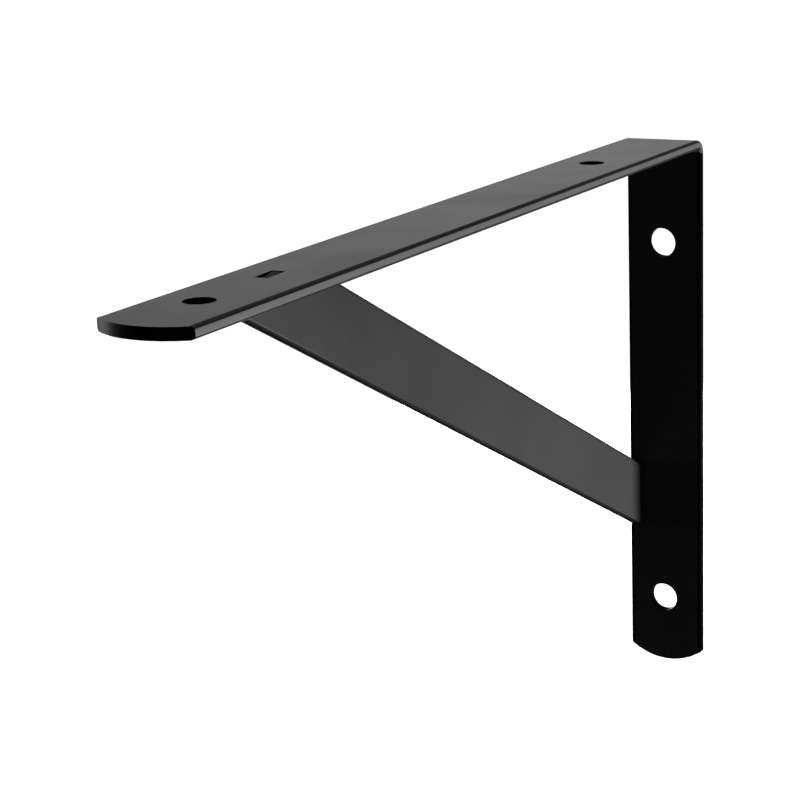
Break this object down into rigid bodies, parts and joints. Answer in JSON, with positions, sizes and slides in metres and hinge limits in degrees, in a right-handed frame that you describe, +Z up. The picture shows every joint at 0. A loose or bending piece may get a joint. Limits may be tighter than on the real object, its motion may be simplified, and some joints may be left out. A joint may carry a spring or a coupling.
{
  "type": "shelf bracket",
  "caption": "Black steel shelf bracket: a flat bar bent square into an arm and a wall leg with screw holes and rounded ends, propped by a slanting flat brace set on edge.",
  "frame": {"origin": "on the wall, midway between the centres of the two wall holes", "axes": "+Y out of the wall side of the leg, so the arm reaches toward -Y; +Z up, out of the shelf face; X across the bar, with the brace's foot on the -X side"},
  "size_m": [0.0249, 0.28, 0.175],
  "materials": {
    "black_coat": "satin"
  },
  "bodies": {
    "root": {"angle_bar": "black_coat", "brace": "black_coat"}
  },
  "joints": []
}
